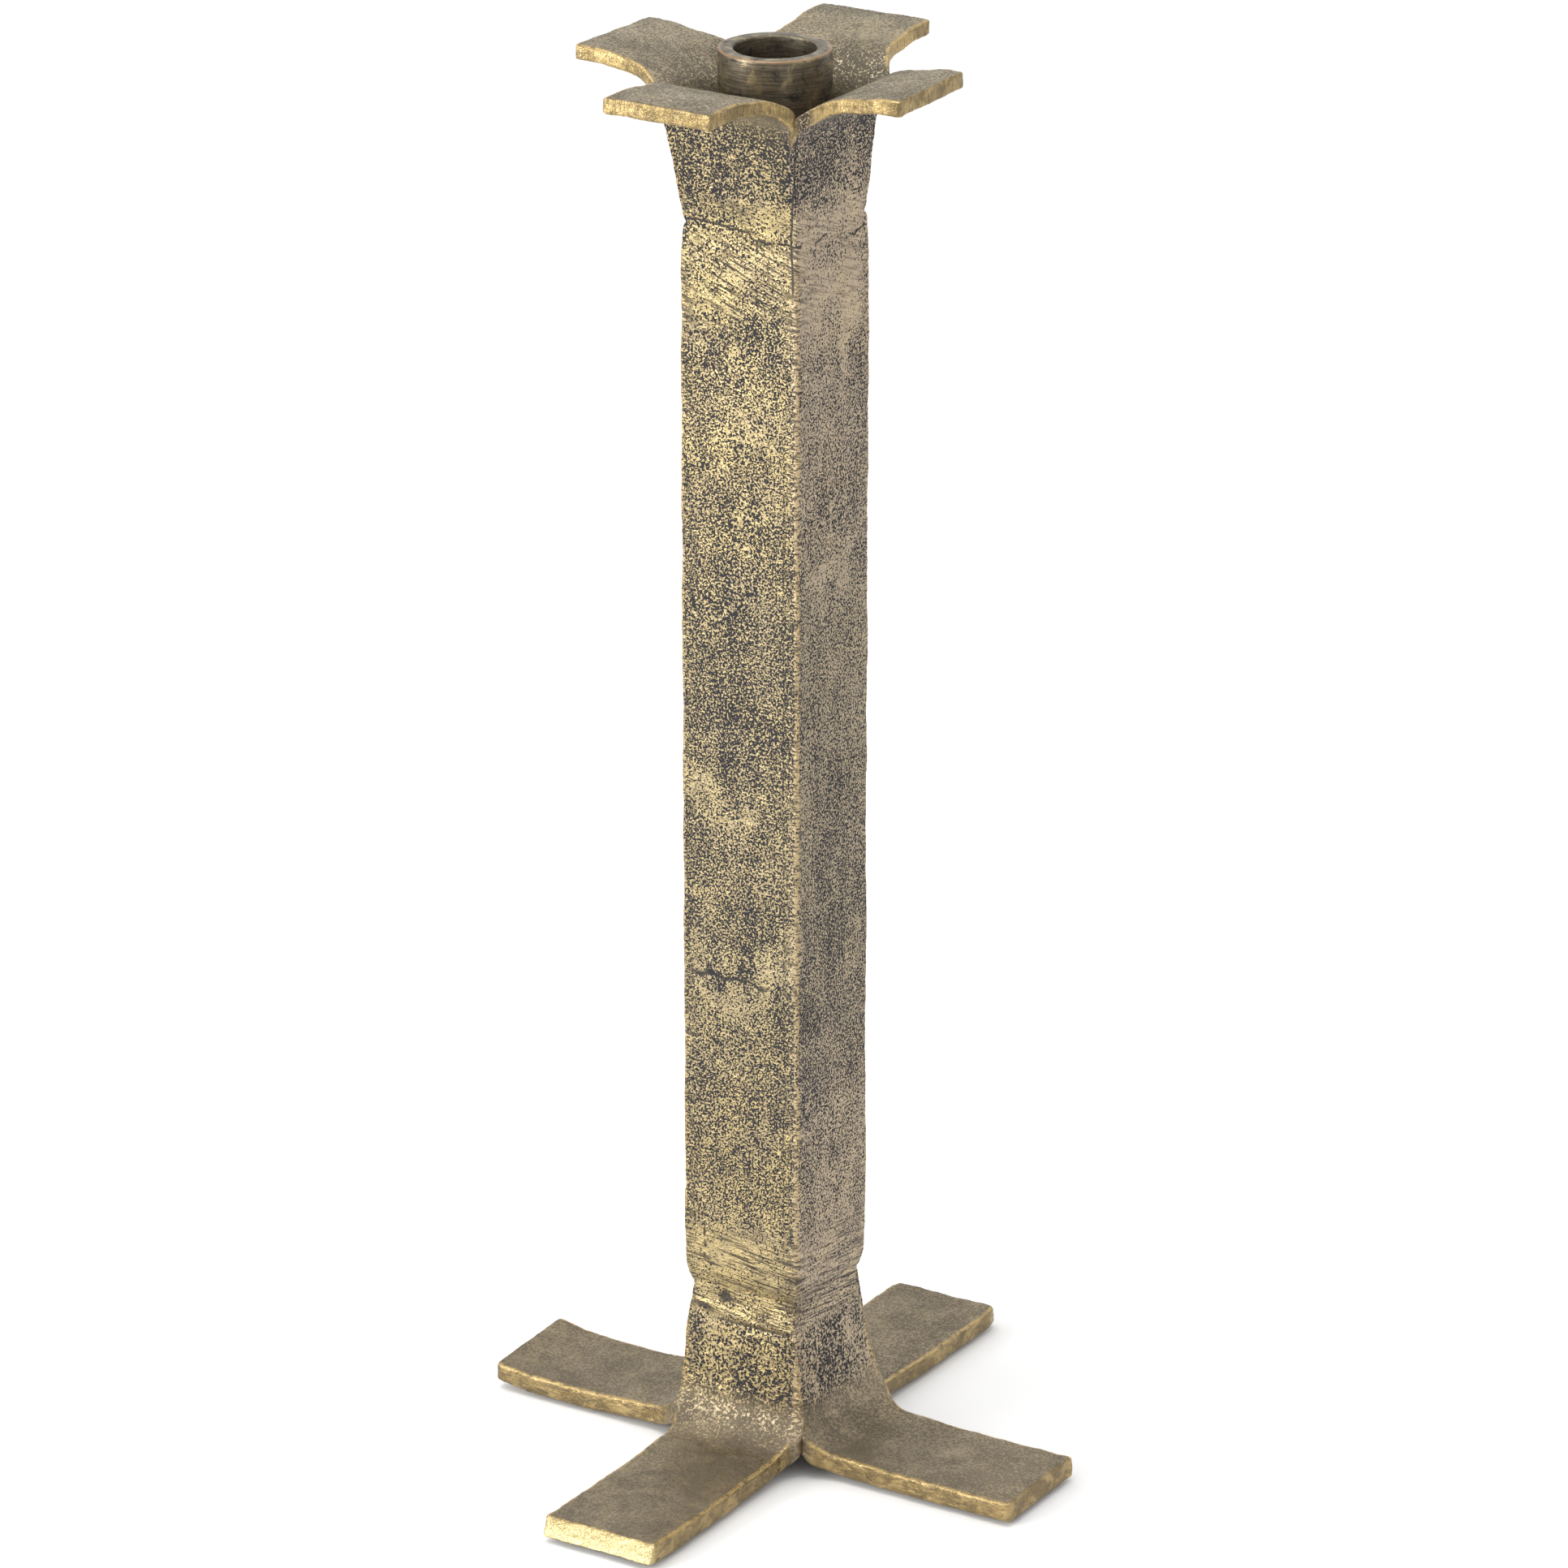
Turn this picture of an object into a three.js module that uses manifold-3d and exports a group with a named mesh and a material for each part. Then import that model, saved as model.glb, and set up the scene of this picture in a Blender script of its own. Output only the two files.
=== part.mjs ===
// Brass candlestick: four splayed feet, a hollow square shaft and four flared petals
// round a turned candle cup. Millimetres, +Z up, origin on the ground under the shaft.
// Front is -Y, right is +X.
import * as THREE from 'three';
import { mergeVertices } from 'three/addons/utils/BufferGeometryUtils.js';
import Module from 'manifold-3d';

const wasm = await Module();
wasm.setup();

// Driving dimensions.
const overallHeight = 400;
const candleDiameter = 22;
const cupWall = 4.2;
const cupRoom = 1;
const shaftWall = 5;
const cornerRound = 1.6;
const lowerSeamHeight = 48.5;
const upperSeamDrop = 46;

// Clearance left wherever two pieces meet.
const fitGap = 0.3;

// Feet: length is from the shaft's face to the tip, lift is the tip's rise off level.
const footThickness = 5.6;
const footBend = 14.7;
const footWeb = 2.9;
const baseInset = 0.5;
const baseFlare = 0.7;
const feet = {
  front: { turn: -90, length: 74.1, width: 35.6, lift: 0.5 },
  right: { turn: 0, length: 68.1, width: 35.4, lift: 0.4 },
  back: { turn: 90, length: 76.7, width: 33.6, lift: 0.2 },
  left: { turn: 180, length: 65.3, width: 33.8, lift: 1.4 },
};
const padThickness = 0.8;
const padLength = 28;
const padInset = 3;
const padCorner = 2;

// Petals: length as for the feet, drop is from the cup rim to the top of the tip.
const petalThickness = 4.6;
const petalNeckWall = 3.2;
const petalBend = 16.4;
const petalWeb = 2.5;
const crownInset = 0.4;
const crownFlare = 1.1;
const crownLip = 2.7;
const petals = {
  front: { turn: -90, length: 38.9, width: 31.4, drop: 2.0 },
  right: { turn: 0, length: 29.5, width: 33.0, drop: 3.8 },
  back: { turn: 90, length: 32.0, width: 33.5, drop: 2.3 },
  left: { turn: 180, length: 32.0, width: 33.6, drop: 3.0 },
};

// Weld seams, ground back a little below the faces.
const seamHeight = 2.4;
const seamSink = 1.1;

// Candle cup and the fixing under it.
const cupDepth = 24;
const cupFloor = 4;
const rimChamfer = 0.5;
const plateThickness = 4;
const plateCorner = 2.5;
const screwRadius = 2;
const screwHeadHeight = 2;
const screwEndLength = 1;
const socketRadius = 1.45;
const socketDepth = 1.2;
const washerThickness = 0.8;
const nutHeight = 3.2;

// Worked out from the sizes above.
const cupRadius = candleDiameter / 2 + cupWall;
const shaftHalf = cupRadius + cupRoom + petalNeckWall - crownFlare;
const crownBottom = overallHeight - upperSeamDrop + seamHeight / 2 + fitGap;
const shaftTop = overallHeight - upperSeamDrop - seamHeight / 2 - fitGap;
const shaftBottom = lowerSeamHeight + seamHeight / 2 + fitGap;
const baseTop = lowerSeamHeight - seamHeight / 2 - fitGap;
const cupBottom = overallHeight - cupDepth - cupFloor;
const plateTop = cupBottom - fitGap;
const plateBottom = plateTop - plateThickness;
const washerTop = plateBottom - fitGap;
const nutTop = washerTop - washerThickness - fitGap;
const screwHeadRadius = screwRadius * 2;
const washerRadius = screwRadius * 2.25;
const nutRadius = screwRadius * 2.02;

const brass = { color: 0xb1985f, roughness: 0.42, metalness: 0.9 };
const seamBrass = { color: 0x9c8450, roughness: 0.5, metalness: 0.9 };
const cupBrass = { color: 0x6b6353, roughness: 0.45, metalness: 0.85 };
const steel = { color: 0x8f9193, roughness: 0.35, metalness: 0.95 };
const felt = { color: 0x2e2c2a, roughness: 0.95, metalness: 0 };

function solidOf(geometry) {
  geometry.deleteAttribute('normal');
  geometry.deleteAttribute('uv');
  const welded = mergeVertices(geometry, 1e-4);
  return new wasm.Manifold(new wasm.Mesh({
    numProp: 3,
    vertProperties: new Float32Array(welded.attributes.position.array),
    triVerts: new Uint32Array(welded.index.array),
  }));
}

function meshOf(name, solid, finish, turn = 0) {
  const { vertProperties, triVerts } = solid.getMesh();
  const geometry = new THREE.BufferGeometry();
  geometry.setAttribute('position', new THREE.BufferAttribute(new Float32Array(vertProperties), 3));
  geometry.setIndex(new THREE.BufferAttribute(new Uint32Array(triVerts), 1));
  geometry.computeVertexNormals();
  const mesh = new THREE.Mesh(geometry, new THREE.MeshStandardMaterial(finish));
  mesh.name = name;
  mesh.rotation.z = THREE.MathUtils.degToRad(turn);
  return mesh;
}

function shapeOf(points) {
  return new THREE.Shape(points.map(([x, y]) => new THREE.Vector2(x, y)));
}

// A plan shape raised from one height to another.
function upright(shape, from, to) {
  const geometry = new THREE.ExtrudeGeometry(shape, {
    depth: to - from, bevelEnabled: false, curveSegments: 6,
  });
  return solidOf(geometry.translate(0, 0, from));
}

// A side profile of radius and height, swept sideways and turned about the vertical.
function sideways(points, width, turn) {
  const geometry = new THREE.ExtrudeGeometry(shapeOf(points), { depth: width, bevelEnabled: false });
  geometry.rotateX(Math.PI / 2).translate(0, width / 2, 0);
  return solidOf(geometry.rotateZ(THREE.MathUtils.degToRad(turn)));
}

function turned(points) {
  const closed = [...points, points[0]].map(([r, z]) => new THREE.Vector2(r, z));
  return solidOf(new THREE.LatheGeometry(closed, 48).rotateX(Math.PI / 2));
}

// The two faces of a bent plate whose thickness changes evenly along its length.
function plateFaces(line, startThickness, endThickness) {
  const curve = new THREE.SplineCurve(line.map(([r, z]) => new THREE.Vector2(r, z)));
  const steps = 36;
  const left = [];
  const right = [];
  for (let i = 0; i <= steps; i++) {
    const u = i / steps;
    const p = curve.getPointAt(u);
    const t = curve.getTangentAt(u);
    const half = THREE.MathUtils.lerp(startThickness, endThickness, u) / 2;
    left.push([p.x - t.y * half, p.y + t.x * half]);
    right.push([p.x + t.y * half, p.y - t.x * half]);
  }
  return { left, right };
}

// Plan outline of a foot or petal: mitred to the corner, curved out of it, straight to the tip.
function planOutline(web, width, reach) {
  const half = width / 2;
  const round = (web - half) / (1 - Math.SQRT1_2);
  const centre = half + round;
  const side = [[web, web - fitGap * Math.SQRT1_2]];
  for (let i = 1; i <= 6; i++) {
    const angle = Math.PI * (1.25 + 0.25 * i / 6);
    side.push([centre + round * Math.cos(angle), centre + round * Math.sin(angle)]);
  }
  side.push([reach - cornerRound, half], [reach - cornerRound * 0.3, half - cornerRound * 0.3],
    [reach, half - cornerRound]);
  const mirrored = side.map(([r, w]) => [r, -w]).reverse();
  return shapeOf([[fitGap * Math.SQRT1_2, 0], ...side, ...mirrored]);
}

// Takes the sharp corner off the mitred neck, following its flare.
function cornerTrim(outer, capHeight, turn) {
  const cut = cornerRound * (Math.SQRT2 - 1);
  const curve = outer.map(([r, z]) => [r * Math.SQRT2 - cut, z]);
  const last = curve[curve.length - 1];
  return sideways([[0, outer[0][1]], ...curve, [last[0], capHeight], [0, capHeight]], 300, turn);
}

function bentPlate(faces, outer, capHeight, web, piece) {
  const profile = [...faces.left, ...[...faces.right].reverse()];
  const low = Math.min(...profile.map(([, z]) => z)) - 1;
  const high = Math.max(...profile.map(([, z]) => z)) + 1;
  return sideways(profile, piece.width + 4 * web, 0)
    .intersect(upright(planOutline(web, piece.width, shaftHalf + piece.length), low, high))
    .intersect(cornerTrim(outer, capHeight, 45))
    .intersect(cornerTrim(outer, capHeight, -45));
}

function foot(piece) {
  const floor = padThickness + fitGap + footThickness / 2;
  const neck = shaftHalf - shaftWall / 2;
  const tip = shaftHalf + piece.length;
  const bend = [neck + baseFlare + footBend, floor + footBend + 0.8];
  const along = (angle) => [bend[0] - footBend * Math.cos(angle), bend[1] - footBend * Math.sin(angle)];
  const faces = plateFaces([
    [neck - baseInset, baseTop],
    [neck - baseInset * 0.6, baseTop - 9],
    [neck + baseFlare * 0.3, bend[1] + 8],
    along(0), along(Math.PI / 6), along(Math.PI / 3),
    [bend[0] - 1.5, floor + 1.1],
    [bend[0] + 6, floor + 0.3],
    [bend[0] + 15, floor],
    [tip - 24, floor],
    [tip - 8, floor + piece.lift * 0.3],
    [tip + 1, floor + piece.lift],
  ], shaftWall, footThickness);
  return bentPlate(faces, faces.left, -10, shaftHalf + footWeb, piece);
}

function pad(piece) {
  const end = shaftHalf + piece.length - padInset - 5;
  const half = piece.width / 2 - padInset;
  const round = padCorner;
  const shape = new THREE.Shape();
  shape.moveTo(end - padLength, round - half);
  shape.absarc(end - padLength + round, round - half, round, Math.PI, 1.5 * Math.PI);
  shape.absarc(end - round, round - half, round, 1.5 * Math.PI, 2 * Math.PI);
  shape.absarc(end - round, half - round, round, 0, 0.5 * Math.PI);
  shape.absarc(end - padLength + round, half - round, round, 0.5 * Math.PI, Math.PI);
  return upright(shape, 0, padThickness);
}

function petal(piece) {
  const tip = overallHeight - piece.drop - petalThickness / 2;
  const neck = shaftHalf - petalNeckWall / 2;
  const bend = [neck + crownLip + petalBend, tip - petalBend - 1.5];
  const along = (angle) => [bend[0] - petalBend * Math.cos(angle), bend[1] + petalBend * Math.sin(angle)];
  const faces = plateFaces([
    [neck - crownInset, crownBottom],
    [neck, crownBottom + 5],
    [neck + crownFlare, plateBottom],
    along(0), along(Math.PI / 6), along(Math.PI / 3),
    [bend[0] - 2, tip - 1.1],
    [bend[0] + 3.5, tip - 0.2],
    [bend[0] + 8, tip],
    [shaftHalf + piece.length + 1, tip],
  ], petalNeckWall, petalThickness);
  return bentPlate(faces, faces.right, overallHeight + 10, shaftHalf + petalWeb, piece);
}

// Side walls run the full width; the front and back walls sit between them.
function sideWall() {
  const inner = shaftHalf - shaftWall;
  const shape = new THREE.Shape();
  shape.moveTo(inner, -shaftHalf);
  shape.lineTo(shaftHalf - cornerRound, -shaftHalf);
  shape.absarc(shaftHalf - cornerRound, cornerRound - shaftHalf, cornerRound, -Math.PI / 2, 0);
  shape.lineTo(shaftHalf, shaftHalf - cornerRound);
  shape.absarc(shaftHalf - cornerRound, shaftHalf - cornerRound, cornerRound, 0, Math.PI / 2);
  shape.lineTo(inner, shaftHalf);
  return upright(shape, shaftBottom, shaftTop);
}

function faceWall() {
  const half = shaftHalf - shaftWall - fitGap;
  const inner = shaftHalf - shaftWall;
  const shape = shapeOf([[inner, -half], [shaftHalf, -half], [shaftHalf, half], [inner, half]]);
  return upright(shape, shaftBottom, shaftTop);
}

function weldSeam(centre) {
  const outer = shaftHalf - seamSink;
  const inner = shaftHalf - shaftWall + fitGap;
  const shape = new THREE.Shape();
  shape.absarc(outer - cornerRound, outer - cornerRound, cornerRound, 0, Math.PI / 2);
  shape.absarc(cornerRound - outer, outer - cornerRound, cornerRound, Math.PI / 2, Math.PI);
  shape.absarc(cornerRound - outer, cornerRound - outer, cornerRound, Math.PI, 1.5 * Math.PI);
  shape.absarc(outer - cornerRound, cornerRound - outer, cornerRound, 1.5 * Math.PI, 2 * Math.PI);
  const hole = [[-inner, -inner], [-inner, inner], [inner, inner], [inner, -inner]];
  shape.holes.push(new THREE.Path(hole.map(([x, y]) => new THREE.Vector2(x, y))));
  return upright(shape, centre - seamHeight / 2, centre + seamHeight / 2);
}

function cup() {
  const bore = candleDiameter / 2;
  const floor = cupBottom + cupFloor;
  const hole = screwRadius + fitGap;
  const sink = screwHeadRadius + fitGap;
  return turned([
    [cupRadius, cupBottom], [cupRadius, overallHeight - rimChamfer],
    [cupRadius - rimChamfer, overallHeight], [bore + rimChamfer, overallHeight],
    [bore, overallHeight - rimChamfer], [bore, floor], [sink, floor],
    [hole, floor - screwHeadHeight], [hole, cupBottom],
  ]);
}

function cupPlate() {
  const half = cupRadius + cupRoom - 2 * fitGap;
  const cut = plateCorner;
  const hole = new THREE.Path().absarc(0, 0, screwRadius + fitGap, 0, 2 * Math.PI, true);
  const shape = shapeOf([
    [half - cut, -half], [half, cut - half], [half, half - cut], [half - cut, half],
    [cut - half, half], [-half, half - cut], [-half, cut - half], [cut - half, -half],
  ]);
  shape.holes.push(hole);
  return upright(shape, plateBottom, plateTop);
}

function hexagon(radius) {
  const corners = [0, 1, 2, 3, 4, 5].map((i) => Math.PI * i / 3);
  return shapeOf(corners.map((a) => [radius * Math.cos(a), radius * Math.sin(a)]));
}

function cupScrew() {
  const top = cupBottom + cupFloor;
  const end = nutTop - nutHeight - screwEndLength;
  const body = turned([
    [0, top], [screwHeadRadius, top], [screwRadius, top - screwHeadHeight],
    [screwRadius, end + 0.4], [screwRadius - 0.4, end], [0, end],
  ].reverse());
  return body.subtract(upright(hexagon(socketRadius), top - socketDepth, top + 1));
}

function cupWasher() {
  const hole = screwRadius + fitGap;
  const low = washerTop - washerThickness;
  return turned([[washerRadius, low], [washerRadius, washerTop], [hole, washerTop], [hole, low]]);
}

function cupNut() {
  const shape = hexagon(nutRadius);
  shape.holes.push(new THREE.Path().absarc(0, 0, screwRadius + fitGap, 0, 2 * Math.PI, true));
  return upright(shape, nutTop - nutHeight, nutTop);
}

const candlestick = new THREE.Group();
candlestick.name = 'brass_candlestick';
for (const [side, piece] of Object.entries(feet)) {
  candlestick.add(meshOf(`foot_${side}`, foot(piece), brass, piece.turn));
  candlestick.add(meshOf(`foot_pad_${side}`, pad(piece), felt, piece.turn));
}
candlestick.add(meshOf('lower_weld_seam', weldSeam(lowerSeamHeight), seamBrass));
candlestick.add(meshOf('shaft_wall_right', sideWall(), brass));
candlestick.add(meshOf('shaft_wall_left', sideWall(), brass, 180));
candlestick.add(meshOf('shaft_wall_front', faceWall(), brass, -90));
candlestick.add(meshOf('shaft_wall_back', faceWall(), brass, 90));
candlestick.add(meshOf('upper_weld_seam', weldSeam(overallHeight - upperSeamDrop), seamBrass));
for (const [side, piece] of Object.entries(petals)) {
  candlestick.add(meshOf(`petal_${side}`, petal(piece), brass, piece.turn));
}
candlestick.add(meshOf('cup_plate', cupPlate(), brass));
candlestick.add(meshOf('candle_cup', cup(), cupBrass));
candlestick.add(meshOf('cup_screw', cupScrew(), steel));
candlestick.add(meshOf('cup_washer', cupWasher(), steel));
candlestick.add(meshOf('cup_nut', cupNut(), steel));

export default candlestick;
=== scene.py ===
"""Brass candlestick: cast feet and petals on a hollow square shaft, with a turned cup."""
import math

import bmesh
import bpy
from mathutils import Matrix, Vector


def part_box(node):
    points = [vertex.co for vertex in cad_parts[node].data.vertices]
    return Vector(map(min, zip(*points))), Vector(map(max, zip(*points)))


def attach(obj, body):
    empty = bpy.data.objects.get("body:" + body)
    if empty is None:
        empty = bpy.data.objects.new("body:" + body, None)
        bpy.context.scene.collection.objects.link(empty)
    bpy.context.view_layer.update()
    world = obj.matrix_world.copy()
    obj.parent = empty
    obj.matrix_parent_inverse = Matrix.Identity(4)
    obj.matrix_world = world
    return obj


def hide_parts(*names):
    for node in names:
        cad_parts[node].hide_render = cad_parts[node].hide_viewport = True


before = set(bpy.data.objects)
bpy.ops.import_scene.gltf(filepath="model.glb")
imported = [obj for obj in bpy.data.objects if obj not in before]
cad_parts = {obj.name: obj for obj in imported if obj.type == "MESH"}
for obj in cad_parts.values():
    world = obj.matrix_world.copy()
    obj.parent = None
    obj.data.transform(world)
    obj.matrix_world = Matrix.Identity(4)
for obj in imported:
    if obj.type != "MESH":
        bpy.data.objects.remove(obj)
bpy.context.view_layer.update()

bl_info = {
    "name": "Brass Candlestick",
    "version": (1, 0, 0),
    "blender": (4, 5, 0),
    "location": "View3D > Sidebar > Candlestick",
    "description": "Models a rough cast brass candlestick round its measured frame",
    "category": "Object",
}

MM = 0.001
SIDES = {"right": 0, "back": 90, "left": 180, "front": 270}

# Sizes read from the frame.
SHAFT_LOW, SHAFT_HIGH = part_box("shaft_wall_right")
SHAFT_HALF = SHAFT_HIGH.x
WALL = SHAFT_HIGH.x - SHAFT_LOW.x
LOWER_SEAM = sum(corner.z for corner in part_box("lower_weld_seam")) / 2
UPPER_SEAM = sum(corner.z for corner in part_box("upper_weld_seam")) / 2
PAD_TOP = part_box("foot_pad_front")[1].z
CUP_LOW, CUP_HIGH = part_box("candle_cup")

SEAM_HEIGHT = 3.4 * MM

# Middle of the dent pressed into the front, just below the lower seam.
DENT = (-5.8 * MM, -16.8 * MM, 46.8 * MM)
DENT_RADIUS = 2.1 * MM
DENT_DEPTH = 0.55 * MM

# Where the ground part of the front ends, and how far it stands over the cast part there.
GROUND_EDGE = 40.6 * MM
GROUND_STEP = 0.5 * MM


def in_metres(**sizes):
    """Named sizes, and pairs of sizes, given in millimetres."""
    return {name: tuple(part * MM for part in size) if isinstance(size, tuple) else size * MM
            for name, size in sizes.items()}


# How each foot and petal differs from the next. Leans are how far its two corners lean out
# past the shaft, the corner met first going anticlockwise as seen from above coming first.
FEET = {
    "front": in_metres(width=35.6, thickness=5.7, round=0.8, lift=0.5, twist=0.0, slope=2.4,
                       leans=(1.3, 1.1)),
    "right": in_metres(width=35.8, thickness=5.7, round=0.8, lift=0.2, twist=0.0, slope=0.5,
                       leans=(2.5, 3.0)),
    "back": in_metres(width=33.8, thickness=5.3, round=2.6, lift=0.1, twist=0.0, slope=0.8,
                      leans=(3.0, 1.8)),
    "left": in_metres(width=33.8, thickness=5.5, round=1.6, lift=1.2, twist=1.7, slope=0.5,
                      leans=(1.8, 1.3)),
}
PETALS = {
    "front": in_metres(width=32.6, drop=2.5, longer=(1.4, 1.0), leans=(2.4, 3.2)),
    "right": in_metres(width=34.6, drop=3.9, longer=(1.1, 0.2), leans=(0.6, 1.0)),
    "back": in_metres(width=34.2, drop=2.2, longer=(1.3, 1.5), leans=(1.0, 1.6)),
    "left": in_metres(width=34.0, drop=2.9, longer=(0.3, 1.8), leans=(1.6, 2.4)),
}


class CandlestickShape(bpy.types.PropertyGroup):
    corner: bpy.props.FloatProperty(
        name="Corner", description="Rounding of the shaft's corners",
        default=1.3 * MM, unit="LENGTH")
    rim: bpy.props.FloatProperty(
        name="Rim", description="Rounding of the feet's and petals' rims",
        default=1.0 * MM, unit="LENGTH")
    foot_bend: bpy.props.FloatProperty(
        name="Foot bend", description="Bend radius at the middle of a foot's thickness",
        default=14.7 * MM, unit="LENGTH")
    petal_bend: bpy.props.FloatProperty(
        name="Petal bend", description="Bend radius at the middle of a petal's thickness",
        default=16.4 * MM, unit="LENGTH")
    petal_thickness: bpy.props.FloatProperty(
        name="Petal thickness", description="Thickness of a petal at its tip",
        default=4.5 * MM, unit="LENGTH")
    neck_wall: bpy.props.FloatProperty(
        name="Neck wall", description="Thickness of a petal where it leaves the upper seam",
        default=3.2 * MM, unit="LENGTH")
    swell: bpy.props.FloatProperty(
        name="Swell", description="Strength of the slow unevenness of the casting",
        default=1.4 * MM, unit="LENGTH")
    ripple: bpy.props.FloatProperty(
        name="Ripple", description="Strength of the quick unevenness of the casting",
        default=0.45 * MM, unit="LENGTH")
    pitting: bpy.props.FloatProperty(
        name="Pitting", description="Depth of the casting pits in the mesh",
        default=0.4 * MM, unit="LENGTH")


class CandlestickFinish(bpy.types.PropertyGroup):
    rubbed: bpy.props.FloatVectorProperty(
        name="Rubbed brass", description="Brass on the high spots", subtype="COLOR", size=3,
        default=(0.575, 0.45, 0.22))
    dull: bpy.props.FloatVectorProperty(
        name="Dull brass", description="Tarnished brass between the high spots", subtype="COLOR",
        size=3, default=(0.41, 0.325, 0.175))
    golden: bpy.props.FloatVectorProperty(
        name="Golden rim", description="Freshly rubbed brass on corners and rims",
        subtype="COLOR", size=3, default=(0.565, 0.41, 0.185))
    pit: bpy.props.FloatVectorProperty(
        name="Pit", description="Slate patina held in the pits", subtype="COLOR", size=3,
        default=(0.022, 0.023, 0.031))
    patina: bpy.props.FloatVectorProperty(
        name="Patina", description="Brown patina on the feet and petals", subtype="COLOR",
        size=3, default=(0.34, 0.275, 0.18))
    cup: bpy.props.FloatVectorProperty(
        name="Cup", description="Darkened brass of the cup", subtype="COLOR", size=3,
        default=(0.125, 0.105, 0.075))


class CandlestickStage(bpy.types.PropertyGroup):
    azimuth: bpy.props.FloatProperty(
        name="Azimuth", description="Camera's angle round the candlestick",
        default=math.radians(31.8), unit="ROTATION")
    elevation: bpy.props.FloatProperty(
        name="Elevation", description="Camera's angle above level",
        default=math.radians(20.71), unit="ROTATION")
    distance: bpy.props.FloatProperty(
        name="Distance", description="Camera's distance from its aim", default=2.129,
        unit="LENGTH")
    lens: bpy.props.FloatProperty(
        name="Lens", description="Focal length in millimetres", default=180.57)
    world: bpy.props.FloatProperty(
        name="Surroundings", description="Strength of the white surroundings", default=1.0)
    key: bpy.props.FloatProperty(
        name="Key light", description="Power of the large light at the front left", default=21.0)
    top: bpy.props.FloatProperty(
        name="Top light", description="Power of the soft light overhead", default=9.0)


def settings():
    return bpy.context.scene.candlestick


# ---------------------------------------------------------------- small helpers

def smooth(value):
    """Eases a value from 0 to 1 and holds it outside that."""
    value = min(max(value, 0.0), 1.0)
    return value * value * (3 - 2 * value)


def mix(a, b, share):
    return a + (b - a) * share


def hump(value, centre, below, above):
    """1 at the centre, easing to 0 the given distances below and above it."""
    reach = below if value < centre else above
    return smooth(1 - abs(value - centre) / reach)


def lone_selection(piece):
    bpy.ops.object.select_all(action="DESELECT")
    piece.select_set(True)
    bpy.context.view_layer.objects.active = piece


def settle(piece):
    """Puts the piece's place, turn and size into its mesh."""
    lone_selection(piece)
    bpy.ops.object.transform_apply(location=True, rotation=True, scale=True)


def apply_modifiers(piece):
    lone_selection(piece)
    for modifier in list(piece.modifiers):
        bpy.ops.object.modifier_apply(modifier=modifier.name)


def face_outwards(piece):
    lone_selection(piece)
    bpy.ops.object.mode_set(mode="EDIT")
    bpy.ops.mesh.select_all(action="SELECT")
    bpy.ops.mesh.normals_make_consistent(inside=False)
    bpy.ops.object.mode_set(mode="OBJECT")


def smooth_shading(piece):
    lone_selection(piece)
    bpy.ops.object.shade_smooth_by_angle(angle=math.radians(50))


def hand_over(piece, material, slot, *nodes):
    piece.data.materials.clear()
    piece.data.materials.append(material)
    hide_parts(*nodes)
    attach(piece, "root")


# ---------------------------------------------------------------- casting texture in the mesh

def cast_noise(name, scale, depth, coloured):
    texture = bpy.data.textures.get(name)
    if texture is None:
        texture = bpy.data.textures.new(name, "CLOUDS")
        texture.noise_scale = scale
        texture.noise_depth = depth
        texture.cloud_type = "COLOR" if coloured else "GRAYSCALE"
        texture.noise_basis = "ORIGINAL_PERLIN"
    return texture


def roughen(piece, levels, swell=1.0, ripple=1.0, pitting=1.0):
    """Divides the mesh and moves it the way rough sand casting does."""
    shape = settings().shape
    divide = piece.modifiers.new("Divide", "SUBSURF")
    divide.levels = divide.render_levels = levels
    layers = (
        ("Swell", 22 * MM, 1, shape.swell * swell, True),
        ("Ripple", 5.5 * MM, 1, shape.ripple * ripple, True),
        ("Pitting", 1.3 * MM, 2, shape.pitting * pitting, False),
    )
    for name, scale, depth, strength, coloured in layers:
        wave = piece.modifiers.new(name, "DISPLACE")
        wave.texture = cast_noise(name, scale, depth, coloured)
        wave.texture_coords = "LOCAL"
        wave.direction = "RGB_TO_XYZ" if coloured else "NORMAL"
        wave.strength = strength
        wave.mid_level = 0.5
    apply_modifiers(piece)


def mark_front(piece):
    """Presses a dent into the front, and leaves the ground part standing over the cast part."""
    for vertex in piece.data.vertices:
        x, y, z = vertex.co
        if abs(y + SHAFT_HALF) > 4 * MM or z > 60 * MM:
            continue
        away = math.hypot(x - DENT[0], z - DENT[2]) / DENT_RADIUS
        dent = DENT_DEPTH * math.exp(-away ** 2)
        edge = GROUND_EDGE - 0.35 * MM * math.sin(x / (3 * MM))
        edge -= 2.6 * MM * smooth((x - 12 * MM) / (5 * MM))
        proud = smooth((z - edge) / (0.7 * MM)) * (1 - smooth((z - edge) / (9 * MM)))
        proud *= smooth((x + 12 * MM) / (14 * MM)) * GROUND_STEP
        vertex.co.y += dent - proud


# ---------------------------------------------------------------- plates laid down end to end

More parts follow.
